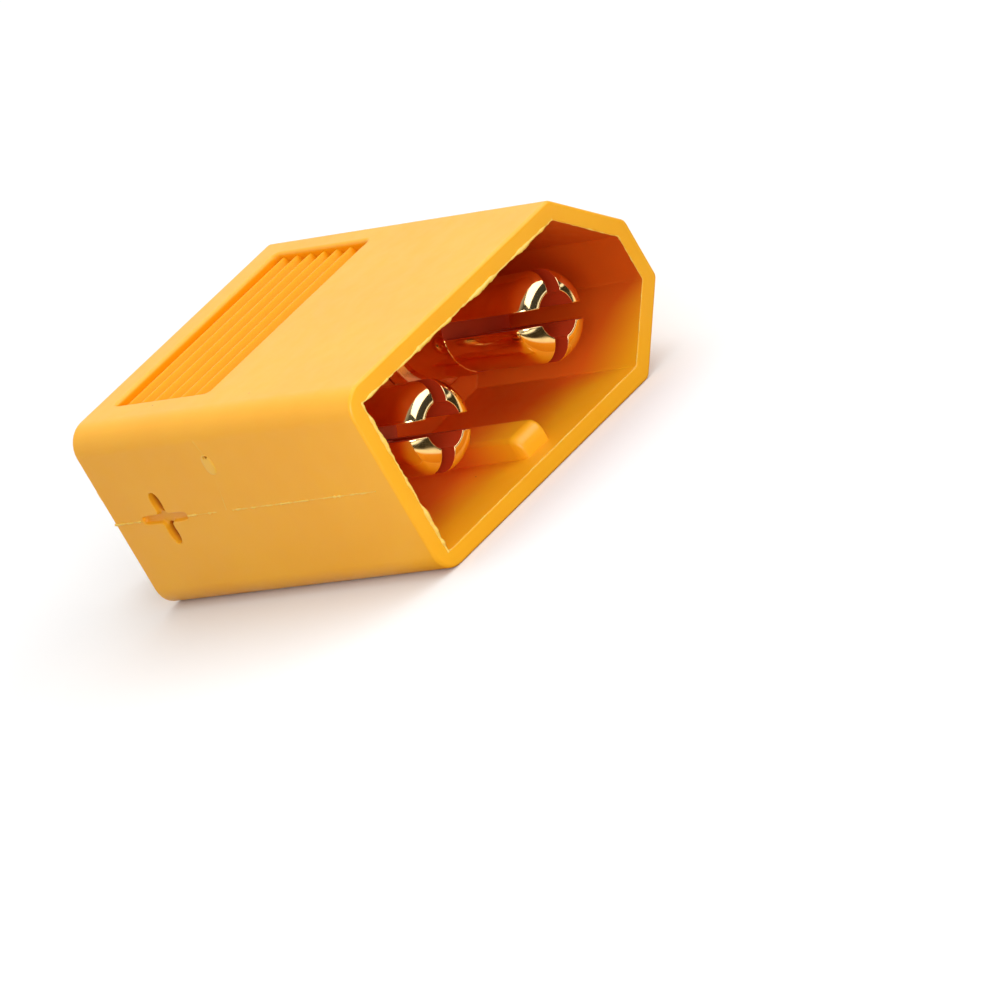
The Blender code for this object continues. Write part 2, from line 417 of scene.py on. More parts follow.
def loft(name: str, rings: Sequence[Ring], closed: bool = False) -> Piece:
    """A closed skin over rings that all have as many points.

    Args:
        name: Name of the new object.
        rings: The rings, each a closed loop of points.
        closed: Whether the last ring meets the first; if not, both ends are capped.

    Returns:
        The object, with its faces pointing out.
    """
    mesh = bpy.data.meshes.new(name)
    bm = bmesh.new()
    rows = [[bm.verts.new(point) for point in ring] for ring in rings]
    if not closed:
        bm.faces.new(rows[0])
        bm.faces.new(rows[-1])
    following = rows[1:] + rows[:1] if closed else rows[1:]
    for row, next_row in zip(rows, following):
        for first in range(len(row)):
            second = (first + 1) % len(row)
            bm.faces.new((row[first], row[second], next_row[second], next_row[first]))
    bmesh.ops.remove_doubles(bm, verts=bm.verts, dist=WELD_DISTANCE)
    bmesh.ops.recalc_face_normals(bm, faces=bm.faces)
    bm.to_mesh(mesh)
    bm.free()
    return add_object(name, mesh)


def turned(name: str, profile: Sequence[Point], axis_x: float, axis_z: float, steps: int) -> Piece:
    """A solid turned about an axis along Y.

    Args:
        name: Name of the new object.
        profile: Radius and Y of each ring, with no radius of zero.
        axis_x: The axis' X.
        axis_z: The axis' height.
        steps: How many faces go round.

    Returns:
        The object.
    """
    angles = [2 * pi * step / steps for step in range(steps)]
    rings = [
        [
            Vector((axis_x + radius * cos(angle), along, axis_z + radius * sin(angle)))
            for angle in angles
        ]
        for radius, along in profile
    ]
    return loft(name, rings)


def quarter_round(start: Point, corner: Point, end: Point, steps: int = 4) -> list[Point]:
    """Points of a quarter of an ellipse that leaves start towards corner and comes to end.

    Args:
        start: Where the round starts.
        corner: The corner that it cuts off.
        end: Where it ends.
        steps: How many pieces it has.

    Returns:
        The points, start and end included.
    """
    points = []
    for step in range(steps + 1):
        angle = pi / 2 * step / steps
        to_end, to_start = 1 - cos(angle), 1 - sin(angle)
        points.append(tuple(
            corner[i] + (start[i] - corner[i]) * to_start + (end[i] - corner[i]) * to_end
            for i in range(2)
        ))
    return points


def rounded_outline(corners: Sequence[tuple[float, float, float]], steps: int = 8) -> list[Point]:
    """A closed outline with rounded corners.

    Args:
        corners: X, Y and radius of each corner.
        steps: How many pieces a quarter turn has.

    Returns:
        The outline's points, as many for any radii.
    """
    points = []
    for index, (x, y, radius) in enumerate(corners):
        corner = Vector((x, y))
        before = (Vector(corners[index - 1][:2]) - corner).normalized()
        after = (Vector(corners[(index + 1) % len(corners)][:2]) - corner).normalized()
        half_angle = before.angle(after) / 2
        centre = corner + (before + after).normalized() * (radius / sin(half_angle))
        reach = radius / tan(half_angle)
        start = corner + before * reach - centre
        end = corner + after * reach - centre
        first = atan2(start.y, start.x)
        turn = (atan2(end.y, end.x) - first + pi) % (2 * pi) - pi
        pieces = max(1, round(abs(turn) / (pi / 2) * steps))
        for piece in range(pieces + 1):
            angle = first + turn * piece / pieces
            points.append((centre.x + radius * cos(angle), centre.y + radius * sin(angle)))
    return points


def rectangle(width: float, length: float, radius: float) -> list[Point]:
    """A rounded rectangle about the origin."""
    x, y = width / 2, length / 2
    return rounded_outline([(-x, -y, radius), (x, -y, radius), (x, y, radius), (-x, y, radius)])


def combine(target: Piece, operation: str, *tools: Piece) -> None:
    """Cuts tools out of a target or joins them to it, and removes the tools.

    Args:
        target: The solid that changes.
        operation: DIFFERENCE or UNION.
        tools: The solids that cut it or are joined to it.
    """
    for tool in tools:
        modifier = target.modifiers.new(tool.name, "BOOLEAN")
        modifier.operation = operation
        modifier.solver = "EXACT"
        modifier.object = tool
    settle(target)
    discard(*tools)


def soften(obj: Piece, width: float, segments: int = 3, angle: float = radians(40)) -> None:
    """Rounds an object's sharp edges.

    Args:
        obj: The object.
        width: The rounds' width.
        segments: Their facets.
        angle: The smallest turn between faces that counts as sharp.
    """
    bevel = obj.modifiers.new("edges", "BEVEL")
    bevel.width = width
    bevel.segments = segments
    bevel.limit_method = "ANGLE"
    bevel.angle_limit = angle
    settle(obj)


def shade(obj: Piece) -> None:
    """Shades an object smooth, with flat faces kept flat beside their small rounds.

    Args:
        obj: The object.
    """
    obj.data.shade_smooth()
    obj.data.set_sharp_from_angle(angle=SHARP_ANGLE)
    normals = obj.modifiers.new("flat_faces", "WEIGHTED_NORMAL")
    normals.mode = "FACE_AREA"
    normals.weight = FLAT_FACE_WEIGHT
    normals.keep_sharp = True
    settle(obj)


def hand_over(piece: Piece, material: bpy.types.Material, node: str) -> None:
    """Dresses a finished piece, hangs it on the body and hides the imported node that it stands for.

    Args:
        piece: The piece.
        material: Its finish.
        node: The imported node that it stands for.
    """
    piece.data.materials.clear()
    piece.data.materials.append(material)
    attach(piece, BODY)
    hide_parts(node)


def engraving(depth: float, brim: float) -> list[Point]:
    """Levels of a cutter that leaves a rounded brim and a rounded floor.

    Args:
        depth: How deep it cuts.
        brim: Size of both rounds.

    Returns:
        How far the outline grows and how far it stands out, level by level.
    """
    levels = [(brim, BITE)]
    levels += quarter_round((brim, 0.0), (0.0, 0.0), (0.0, -brim))
    levels += quarter_round((-brim / 2, brim - depth), (-brim, -depth), (-2 * brim, -depth))
    return levels


@dataclass(frozen=True)
class SideForm:
    """A small form with a rounded outline on one side face."""

    name: str
    pole: Pole
    middle: Point
    half_size: Point
    fullness: float
    steps: int = 48

    def build(self, space: PlugSpace, levels: Sequence[Point]) -> Piece:
        """Makes the form. A fullness of 2 gives an ellipse, 1 a diamond, less a star.

        Args:
            space: The plug's places.
            levels: How far the outline grows and how far it stands out, level by level.

        Returns:
            The form as a solid.
        """
        power = 2 / self.fullness
        (y, z), (half_y, half_z) = self.middle, self.half_size
        rings = []
        for grow, proud in levels:
            x = self.pole.value * (space.half_width + proud)
            ring = []
            for step in range(self.steps):
                angle = 2 * pi * (step + 0.5) / self.steps
                u = copysign(abs(cos(angle)) ** power, cos(angle))
                v = copysign(abs(sin(angle)) ** power, sin(angle))
                ring.append(Vector((x, y + u * (half_y + grow), z + v * (half_z + grow))))
            rings.append(ring)
        return loft(self.name, rings)


@dataclass(frozen=True)
class GripPanel:
    """The sunk and ridged grip panel that each broad face has."""

    space: PlugSpace
    left_margin: float = 1.95 * MM
    right_margin: float = 3.65 * MM
    rear_margin: float = 1.2 * MM
    length: float = 5.46 * MM
    depth: float = 0.6 * MM
    corner: float = 0.22 * MM
    brim: float = 0.16 * MM
    brim_steps: int = 5
    ridges: int = 7
    ridge_steps: int = 16
    ridge_height: float = 0.4 * MM

    @property
    def width(self) -> float:
        """Size of the panel across the plug."""
        return 2 * self.space.half_width - self.left_margin - self.right_margin

    @property
    def middle(self) -> Point:
        """X and Y of the panel's middle."""
        x = (self.left_margin - self.right_margin) / 2
        return x, self.space.rear_y - self.rear_margin - self.length / 2

    def level(self, face: Face, depth: float) -> float:
        """Height of a level at some depth below a broad face."""
        return self.space.height - depth if face is Face.TOP else depth

    def cutter(self, face: Face) -> Piece:
        """A cutter for the recess, flared at its mouth to leave a rounded brim.

        Args:
            face: The face that it cuts.

        Returns:
            The cutter.
        """
        brim = self.brim
        levels = [(brim, -brim * 4)]
        levels += quarter_round((brim, 0.0), (0.0, 0.0), (0.0, brim), self.brim_steps)
        levels.append((0.0, self.depth + BITE / 2))
        x, y = self.middle
        rings = []
        for grow, depth in levels:
            outline = rectangle(self.width + 2 * grow, self.length + 2 * grow, self.corner + grow)
            level = self.level(face, depth)
            rings.append([Vector((x + u, y + v, level)) for u, v in outline])
        return loft(f"panel_cutter_{face.value}", rings)

    def ridge_bed(self, face: Face, nylon: bpy.types.Material) -> Piece:
        """The ridged floor of the recess, which reaches into the housing all round.

        Args:
            face: The face that it lies in.
            nylon: Its finish.

        Returns:
            The bed as a solid.
        """
        overlap = 2 * BITE
        values = {
            "Width": self.width + overlap,
            "Length": self.length + overlap,
            "Ridge Pitch": self.length / self.ridges,
            "Ridge Height": self.ridge_height,
            "Bed Thickness": BITE,
            "Rows": self.ridges * self.ridge_steps + 1,
            "Material": nylon,
        }
        bed = self.ridge_tree().run(f"ridge_bed_{face.value}", values)
        x, y = self.middle
        turn = Matrix() if face is Face.TOP else Matrix.Rotation(pi, 4, "X")
        bed.data.transform(Matrix.Translation((x, y, self.level(face, self.depth))) @ turn)
        return bed

    @staticmethod
    def ridge_tree() -> GeometryTree:
        """A Geometry Nodes tree that raises ridges on a bed: a waved sheet with a wall down to its foot.

        Returns:
            The tree.
        """
        tree = GeometryTree("grip_ridges")
        width, length, pitch, height, thickness = tree.inputs(
            Socket.LENGTH, "Width", "Length", "Ridge Pitch", "Ridge Height", "Bed Thickness"
        )
        rows = tree.input("Rows", Socket.COUNT)
        size = {"Size X": width, "Size Y": length, "Vertices X": 2, "Vertices Y": rows}
        grid = tree.make("GeometryNodeMeshGrid", size)
        along = tree.split(tree.make("GeometryNodeInputPosition"))["Y"]
        phase = tree.math("MULTIPLY", tree.math("DIVIDE", along, pitch), 2 * pi)
        crest = tree.math("MULTIPLY_ADD", tree.math("COSINE", phase), 0.5, 0.5)
        rise = tree.make("ShaderNodeCombineXYZ", {"Z": tree.math("MULTIPLY", crest, height)})
        wave = tree.make("GeometryNodeSetPosition", {"Geometry": grid, "Offset": rise})
        down = tree.make("ShaderNodeCombineXYZ", {"Z": tree.math("MULTIPLY", thickness, -1.0)})
        pull = {"Mesh": wave, "Offset": down, "Offset Scale": 1.0, "Individual": False}
        sides = tree.make("GeometryNodeExtrudeMesh", pull)
        flipped = tree.make("GeometryNodeFlipFaces", {0: sides})
        joined = tree.add("GeometryNodeJoinGeometry", {0: flipped})
        tree.feed(joined, {0: wave})
        loose = {"Geometry": joined.outputs[0], "Distance": WELD_DISTANCE}
        tree.end(tree.make("GeometryNodeMergeByDistance", loose))
        return tree


@dataclass(frozen=True)
class PolarityMarks:
    """The plus sunk in the square side and the minus sunk in the chamfered side."""

    space: PlugSpace
    y: float = 3.45 * MM
    brim: float = 0.05 * MM
    depth: float = 0.2 * MM
    bar: Point = (1.27 * MM, 0.19 * MM)
    bar_fullness: float = 5.0
    upright: Point = (0.24 * MM, 1.12 * MM)
    upright_fullness: float = 2.6
    heart: Point = (0.52 * MM, 0.46 * MM)
    heart_fullness: float = 1.1
    pocket: Point = (0.25 * MM, 0.47 * MM)
    pocket_fullness: float = 2.3
    pocket_rise: float = 0.68 * MM
    pocket_depth: float = 0.45 * MM

    def cutters(self) -> list[Piece]:
        """Cutters for both marks.

        Returns:
            The minus' bar, then the bar, the upright, the heart and the two deeper pockets of the plus.
        """
        minus, plus = Pole.NEGATIVE, Pole.POSITIVE
        shallow = engraving(self.depth, self.brim)
        deep = engraving(self.pocket_depth, self.brim)
        forms = (
            ("minus_bar", minus, 0.0, self.bar, self.bar_fullness, shallow),
            ("plus_bar", plus, 0.0, self.bar, self.bar_fullness, shallow),
            ("plus_upright", plus, 0.0, self.upright, self.upright_fullness, shallow),
            ("plus_heart", plus, 0.0, self.heart, self.heart_fullness, shallow),
            ("plus_upper", plus, self.pocket_rise, self.pocket, self.pocket_fullness, deep),
            ("plus_lower", plus, -self.pocket_rise, self.pocket, self.pocket_fullness, deep),
        )
        cutters = []
        for name, pole, rise, half_size, fullness, levels in forms:
            middle = (self.y, self.space.mid_height + rise)
            form = SideForm(name, pole, middle, half_size, fullness)
            cutters.append(form.build(self.space, levels))
        return cutters


@dataclass(frozen=True)
class GateMark:
    """The flat drop that the mould's gate left on the square side, with its pinhole."""

    space: PlugSpace
    drop: SideForm = SideForm(
        "gate_vestige", Pole.POSITIVE, (-0.62 * MM, 6.02 * MM), (0.27 * MM, 0.44 * MM), 2.4
    )
    pit: SideForm = SideForm(
        "gate_pit", Pole.POSITIVE, (-0.66 * MM, 6.36 * MM), (0.1 * MM, 0.05 * MM), 2.0
    )
    proud: float = 0.03 * MM
    shoulder: float = 0.1 * MM
    pit_depth: float = 0.08 * MM
    pit_brim: float = 0.02 * MM

    def build(self) -> Piece:
        """Makes the drop with its pinhole.

        Returns:
            The drop as a solid.
        """
        levels = [(0.0, -BITE), (0.0, 0.0)]
        levels += quarter_round((0.0, 0.0), (0.0, self.proud), (-self.shoulder, self.proud))
        drop = self.drop.build(self.space, levels)
        combine(drop, "DIFFERENCE", self.cutter())
        shade(drop)
        return drop

    def cutter(self) -> Piece:
        """A cutter for the pinhole."""
        return self.pit.build(self.space, engraving(self.pit_depth, self.pit_brim))


@dataclass(frozen=True)
class NylonFinish:
    """Moulded amber nylon: satin, slightly translucent, with a faint skin and tiny specks.

    It is duller in the grip panels, and has painted shade: a deeper colour in the grip panels, in the
    polarity marks and behind the mouth, darkest in the cavity towards the chamfered side and up.
    Each set of shade depths gives the distance at which a shade starts to show and the one where it is
    full.
    """

    space: PlugSpace
    panel: GripPanel
    marks: PolarityMarks
    name: str = "amber_nylon"
    colour: Colour = (0.96, 0.455, 0.012)
    deep_colour: Colour = (0.94, 0.425, 0.009)
    mottle_lump: float = 3.0 * MM
    gloss: float = 0.5
    roughness: float = 0.36
    sheen_spread: float = 0.05
    sheen_lump: float = 0.8 * MM
    translucency: float = 0.12
    scatter_length: float = 0.5 * MM
    scatter_colour: Colour = (1.0, 0.4, 0.08)

    skin_lump: float = 0.16 * MM
    skin_depth: float = 0.02 * MM
    skin_strength: float = 0.10
    wave_lump: float = 2.2 * MM
    wave_share: float = 4.0

    speck_colour: Colour = (0.30, 0.12, 0.02)
    speck_spacing: float = 0.9 * MM
    speck_radius: float = 0.035
    speck_rarity: float = 0.8

    # Painted shade: a deeper colour on the grip panels' ridged floor, where shade falls in the recess.
    panel_colour: Colour = (0.90, 0.365, 0.004)
    panel_gloss: float = 0.12
    panel_deepening: Point = (0.05 * MM, 0.2 * MM)
    panel_spill: float = 0.2 * MM

    # Painted shade: a dark red in the deepest places of the polarity marks.
    mark_colour: Colour = (0.50, 0.11, 0.003)
    mark_deepening: Point = (0.14 * MM, 0.38 * MM)
    mark_reach: Point = (1.65 * MM, 1.4 * MM)
    mark_floor: float = 0.6 * MM

    # Painted shade: a red that the cavity takes on behind the mouth.
    cavity_colour: Colour = (0.93, 0.185, 0.014)
    deepening: Point = (1.7 * MM, 4.4 * MM)
    shade_weights: Point = (0.9, 1.0)
    # Painted shade: a darker red where the cavity lies towards the chamfered side and up, where less light
    # comes in.
    corner_colour: Colour = (0.62, 0.085, 0.004)
    corner_deepening: Point = (1.2 * MM, 6.0 * MM)
    corner_weights: Point = (1.2, 0.4)
    corner_level: float = 0.3
    skin: float = 0.35 * MM
    cut_reach: float = 0.75 * MM
    rim_clear: float = 0.04 * MM
    cavity_back: float = -0.45 * MM

    def build(self) -> bpy.types.Material:
        """Makes the material.

        Returns:
            The finish as a node material.
        """
        graph = FinishGraph(self.name)
        panel = self.panel_share(graph)
        mottle = graph.remap(graph.noise(graph.place, 1 / self.mottle_lump), NOISE_CORE, WHOLE)
        plain = graph.mix(mottle, self.deep_colour, self.colour)
        # Painted shade: deeper colours in the grip panels, the polarity marks and the cavity behind the
        # mouth.
        outside = graph.mix(panel, plain, self.panel_colour)
        marked = graph.mix(self.mark_share(graph), outside, self.mark_colour)
        reach = self.corner_reach(graph, self.corner_weights)
        corner = graph.remap(reach, self.corner_deepening, WHOLE)
        cavity = graph.mix(corner, self.cavity_colour, self.corner_colour)
        body = graph.mix(self.cavity_share(graph), marked, cavity)

        sheen = graph.noise(graph.place, 1 / self.sheen_lump)
        spread = (self.roughness - self.sheen_spread, self.roughness + self.sheen_spread)
        grain = graph.noise(graph.place, 1 / self.skin_lump, 4.0)
        wave = graph.noise(graph.place, 1 / self.wave_lump, 1.0)
        height = graph.math("ADD", grain, graph.math("MULTIPLY", wave, self.wave_share))
        graph.feed(graph.shader, {
            "Base Color": graph.mix(self.speck_share(graph), body, self.speck_colour),
            "Roughness": graph.remap(sheen, NOISE_CORE, spread),
            "Specular IOR Level": graph.remap(panel, WHOLE, (self.gloss, self.panel_gloss)),
            "Normal": graph.relief(height, self.skin_strength, self.skin_depth),
            "Subsurface Weight": self.translucency,
            "Subsurface Radius": self.scatter_colour,
            "Subsurface Scale": self.scatter_length,
        })
        return graph.material

    def speck_share(self, graph: FinishGraph) -> Signal:
        """Where the few dark specks are.

        Args:
            graph: The material's nodes.

        Returns:
            1 on the specks and 0 elsewhere.
        """
        inputs = {"Vector": graph.place, "Scale": 1 / self.speck_spacing}
        cells = graph.add("ShaderNodeTexVoronoi", inputs)
        near = graph.math("LESS_THAN", cells.outputs["Distance"], self.speck_radius)
        tint = graph.make("ShaderNodeSeparateColor", {0: cells.outputs["Color"]})
        return graph.math("MULTIPLY", near, graph.math("GREATER_THAN", tint, self.speck_rarity))

    def panel_share(self, graph: FinishGraph) -> Signal:
        """How deep in a grip panel a place lies, which sets its painted shade and its lower gloss.

        Args:
            graph: The material's nodes.

        Returns:
            The share, from 0 outside to 1 on the panel's floor.
        """
        x, y, z = graph.split(graph.place)
        middle = self.space.mid_height
        depth = graph.math("SUBTRACT", middle, graph.offset(z, middle))
        panel_x, panel_y = self.panel.middle
        limits = [
            (depth, self.panel.depth + self.panel_spill),
            (graph.offset(x, panel_x), self.panel.width / 2 + self.panel_spill),
            (graph.offset(y, panel_y), self.panel.length / 2 + self.panel_spill),
        ]
        return graph.fence(graph.remap(depth, self.panel_deepening, WHOLE), below=limits)

    def mark_share(self, graph: FinishGraph) -> Signal:
        """How much painted shade a place in a polarity mark gets, from how deep it lies.

        Args:
            graph: The material's nodes.

        Returns:
            The share, from 0 outside to 1 in the marks' deepest places.
        """
        x, y, z = graph.split(graph.place)
        depth = graph.math("SUBTRACT", self.space.half_width, graph.math("ABSOLUTE", x))
        limits = [
            (depth, self.mark_floor),
            (graph.offset(z, self.space.mid_height), self.mark_reach[1]),
            (graph.offset(y, self.marks.y), self.mark_reach[0]),
        ]
        return graph.fence(graph.remap(depth, self.mark_deepening, WHOLE), below=limits)

    def corner_reach(self, graph: FinishGraph, weights: Point) -> Signal:
        """How far a place lies towards the chamfered side and up, where less light comes in.

        Args:
            graph: The material's nodes.
            weights: What the way aside and the way up count.

        Returns:
            The weighted distance.
        """
        x, _, z = graph.split(graph.place)
        lowest = self.corner_level * self.space.height
        rise = graph.math("MAXIMUM", 0.0, graph.math("SUBTRACT", z, lowest))
        aside = graph.math("MAXIMUM", 0.0, graph.math("SUBTRACT", x, self.space.pin_x))
        return graph.weigh(aside, weights[0], rise, weights[1])

    def cavity_share(self, graph: FinishGraph) -> Signal:
        """How much painted shade of the cavity shows: none outside and at the mouth, all behind.

        Args:
            graph: The material's nodes.

        Returns:
            The share, from 0 to 1.
        """
        space = self.space
        x, y, z = graph.split(graph.place)
        level = graph.offset(z, space.mid_height)
        below = [
            (graph.math("ABSOLUTE", x), space.half_width - self.skin),
            (level, space.mid_height - self.skin),
            (graph.math("ADD", x, level), space.half_width + self.cut_reach),
            (y, self.cavity_back),
        ]
        behind = graph.math("SUBTRACT", y, space.mouth_y)
        depth = graph.math("ADD", behind, self.corner_reach(graph, self.shade_weights))
        share = graph.remap(depth, self.deepening, WHOLE)
        return graph.fence(share, below, above=[(y, space.mouth_y + self.rim_clear)])


@dataclass(frozen=True)
class GoldFinish:
    """Polished gold plating over turned brass, with faint turning marks and dull cut faces.

    The cut faces are the bore and the saw cuts, which the plating hardly reaches.
    Their dark red colour is painted shade, as deep in those narrow cuts.
    """

    name: str
    axis: tuple[float, float, float]
    turn: float
    cut_width: float
    bore_radius: float
    cut_end: float
    colour: Colour = (0.96, 0.71, 0.35)
    roughness: float = 0.09
    smear_lump: float = 0.3 * MM
    smear_spread: Point = (-0.03, 0.05)
    worn_colour: Colour = (0.86, 0.58, 0.26)
    wear_lump: float = 0.9 * MM
    wear_range: Point = (0.45, 0.75)
    most_wear: float = 0.6
    # Painted shade: the dark red of the bore and saw cuts, deep inside the contact.
    cut_colour: Colour = (0.56, 0.055, 0.012)
    cut_roughness: float = 0.35
    cut_dullness: float = 0.75
    cut_allowance: float = 0.01 * MM
    mark_pitch: float = 0.045 * MM
    mark_depth: float = 0.01 * MM
    mark_strength: float = 0.02
    mark_squeeze: float = 0.02

    def build(self) -> bpy.types.Material:
        """Makes the material.

        Returns:
            The finish as a node material.
        """
        graph = FinishGraph(self.name)
        wear = graph.noise(graph.place, 1 / self.wear_lump)
        patch = graph.remap(wear, self.wear_range, (0.0, self.most_wear))
        plated = graph.mix(patch, self.colour, self.worn_colour)
        # The cut faces take the painted shade, and are rougher and less metallic.
        cut = self.cut_share(graph)
        spread = (self.roughness + self.smear_spread[0], self.roughness + self.smear_spread[1])
        smear = graph.remap(graph.noise(graph.place, 1 / self.smear_lump), NOISE_CORE, spread)
        squeeze = (self.mark_squeeze, 1.0, self.mark_squeeze)
        rings = graph.make("ShaderNodeMapping", {"Vector": graph.place, "Scale": squeeze})
        marks = graph.noise(rings, 1 / self.mark_pitch, 2.0)
        graph.feed(graph.shader, {
            "Base Color": graph.mix(cut, plated, self.cut_colour),
            "Roughness": graph.math("MAXIMUM", smear, graph.math("MULTIPLY", cut, self.cut_roughness)),
            "Normal": graph.relief(marks, self.mark_strength, self.mark_depth),
            "Metallic": graph.math("SUBTRACT", 1.0, graph.math("MULTIPLY", cut, self.cut_dullness)),
        })
        return graph.material

    def cut_share(self, graph: FinishGraph) -> Signal:
        """Where the bore and the saw cuts are.

        Args:
            graph: The material's nodes.

        Returns:
            1 on the cut faces and 0 elsewhere.
        """
        inputs = {"Vector": graph.place, "Location": self.axis, "Rotation": (0.0, self.turn, 0.0)}
        local = graph.make("ShaderNodeMapping", inputs, vector_type="TEXTURE")
        across, along, upward = graph.split(local)
        aside, above = graph.math("ABSOLUTE", across), graph.math("ABSOLUTE", upward)
        nearest = graph.math("MINIMUM", aside, above)
        square = graph.weigh(across, across, upward, upward)
        sawn = graph.math("LESS_THAN", nearest, self.cut_width / 2 + self.cut_allowance)
        bored = graph.math("LESS_THAN", square, (self.bore_radius + self.cut_allowance) ** 2)
        front = graph.math("LESS_THAN", along, self.cut_end + 2 * self.cut_allowance)
        return graph.math("MULTIPLY", front, graph.math("MAXIMUM", sawn, bored))


@dataclass(frozen=True)
class FlashStrand:
    """One strand of moulding flash: a bead that is thin where it is bare and bursts out in lumps."""

    name: str
    path: Ring
    thin_radius: float
    thick_radius: float
    raggedness: float
    lump_length: float
    bareness: float
    closed: bool = False

    def path_mesh(self) -> bpy.types.Mesh:
        """The strand's path as a mesh of edges.

        Returns:
            The mesh.
        """
        count = len(self.path)
        edges = [(step, (step + 1) % count) for step in range(count)]
        mesh = bpy.data.meshes.new(f"{self.name}_path")
        mesh.from_pydata(self.path, edges if self.closed else edges[:-1], [])
        return mesh


@dataclass(frozen=True)
class Housing:
    """The moulded housing: shroud, rear block, key rib, grip panels, polarity marks and flash."""

    space: PlugSpace
    panel: GripPanel
    marks: PolarityMarks
    gate: GateMark
    nylon: bpy.types.Material
    flash_nylon: bpy.types.Material
    gate_nylon: bpy.types.Material
    chamfer: float = 2.75 * MM
    square_round: float = 1.0 * MM
    chamfer_round: float = 0.35 * MM
    end_round: float = 0.14 * MM

    rim_wall: float = 0.7 * MM
    cavity_depth: float = 9.0 * MM
    cavity_square_round: float = 0.15 * MM
    cavity_chamfer_round: float = 0.12 * MM
    rim_inner_round: float = 0.05 * MM
    cavity_floor_round: float = 0.08 * MM
    least_round: float = 0.03 * MM

    rib_width: float = 1.5 * MM
    rib_height: float = 0.9 * MM
    rib_offset: float = -0.35 * MM
    rib_setback: float = 0.95 * MM
    rib_nose_length: float = 0.55 * MM
    rib_nose_drop: float = 0.6 * MM
    rib_nose_steps: int = 10
    rib_edge_round: float = 0.2 * MM

    collar_seat_radius: float = 2.25 * MM
    collar_seat_depth: float = 0.6 * MM
    passage_radius: float = 1.95 * MM
    passage_brim: float = 0.12 * MM
    passage_steps: int = 96

    flash_step: float = 0.025 * MM
    flash_sharpness: float = 4.0
    flash_detail: float = 4.0
    shiver_length: float = 0.3 * MM
    shiver_detail: float = 5.0
    bead_faces: int = 6
    mouth_flash_rise: float = 0.02 * MM
    witness_rise: float = 0.006 * MM
    # Y and Z of each corner of the line through the gate mark.
    witness_turns: tuple[Point, ...] = (
        (-0.5 * MM, 7.1 * MM),
        (-0.62 * MM, 6.6 * MM),
        (-0.56 * MM, 5.5 * MM),
        (-0.15 * MM, 4.05 * MM),
    )
    # Start and end along Y, thick radius and bareness of each run of the parting line.
    seam_runs: tuple[tuple[float, float, float, float], ...] = (
        (6.36 * MM, 4.82 * MM, 0.055 * MM, 0.34),
        (2.1 * MM, 0.45 * MM, 0.07 * MM, 0.40),
        (-0.5 * MM, -8.6 * MM, 0.062 * MM, 0.43),
    )

    def build(self) -> list[Piece]:
        """Builds and dresses the housing.

        Returns:
            Its pieces: the moulding, the gate mark and the strands of flash.
        """
        shell = self.build_shell()
        combine(shell, "DIFFERENCE", *(self.panel.cutter(face) for face in Face))
        beds = [self.panel.ridge_bed(face, self.nylon) for face in Face]
        combine(shell, "UNION", self.key_rib(), *beds)
        combine(shell, "DIFFERENCE", self.gate.cutter(), *self.marks.cutters())
        combine(shell, "DIFFERENCE", *(self.passage_cutter(pole) for pole in Pole))
        shade(shell)
        dressed = [(shell, self.nylon), (self.gate.build(), self.gate_nylon)]
        dressed += [(strand, self.flash_nylon) for strand in self.moulding_flash()]
        for piece, nylon in dressed:
            hand_over(piece, nylon, HOUSING_NODE)
        return [piece for piece, _ in dressed]

    def section(self, inset: float, along: float, square: float, cut: float) -> Ring:
        """One ring of the plug's outline.

        Args:
            inset: How far it lies inside the outer face.
            along: Its Y.
            square: Round of the square corners.
            cut: Round of the chamfered corners.

        Returns:
            The ring.
        """
        half, height = self.space.half_width, self.space.height
        chamfer = self.chamfer - inset * (1 - CHAMFER_LEAN)
        left, right, low, high = inset - half, half - inset, inset, height - inset
        outline = rounded_outline([
            (left, low, square),
            (right - chamfer, low, cut),
            (right, low + chamfer, cut),
            (right, high - chamfer, cut),
            (right - chamfer, high, cut),
            (left, high, square),
        ])
        return [Vector((x, along, z)) for x, z in outline]

    def build_shell(self) -> Piece:
        """The block with its cavity, as rings from the rear face round the rim to the back wall.

        Returns:
            The shell as a solid.
        """
        rear, mouth = self.space.rear_y, self.space.mouth_y
        back, wall = mouth + self.cavity_depth, self.rim_wall
        end, lip, floor = self.end_round, self.rim_inner_round, self.cavity_floor_round
        outer = quarter_round((end, rear), (0.0, rear), (0.0, rear - end))
        outer += quarter_round((0.0, mouth + end), (0.0, mouth), (end, mouth))
        inner = quarter_round((wall - lip, mouth), (wall, mouth), (wall, mouth + lip))
        inner += quarter_round((wall, back - floor), (wall, back), (wall + floor, back))
        rings = [
            self.section(inset, along, self.square_round - inset, self.chamfer_round - inset / 2)
            for inset, along in outer
        ]
        for inset, along in inner:
            extra = inset - wall
            square = max(self.least_round, self.cavity_square_round - extra)
            cut = max(self.least_round, self.cavity_chamfer_round - extra / 2)
            rings.append(self.section(inset, along, square, cut))
        return loft("housing_shell", rings)

    def key_rib(self) -> Piece:
        """The rib on the cavity's floor, with a rounded nose and rounded edges.

        Returns:
            The rib as a solid that reaches into the wall and the back of the cavity.
        """
        root = self.rim_wall / 2
        nose = self.space.mouth_y + self.rib_setback
        rear = self.space.mouth_y + self.cavity_depth + root
        top = self.rim_wall + self.rib_height
        half, edge, length = self.rib_width / 2, self.rib_edge_round, self.rib_nose_length
        stations = quarter_round(
            (nose, top - self.rib_nose_drop), (nose, top), (nose + length, top), self.rib_nose_steps
        )
        stations.append((rear, top))
        rings = []
        for along, level in stations:
            closeness = max(0.0, 1 - (along - nose) / length)
            side = half - edge * (1 - (1 - closeness**2) ** 0.5)
            left = quarter_round((-side, level - edge), (-side, level), (-side + edge, level))
            right = [(-x, z) for x, z in reversed(left)]
            outline = [(-side, root), *left, *right, (side, root)]
            rings.append([Vector((self.rib_offset + x, along, z)) for x, z in outline])
        return loft("key_rib", rings)

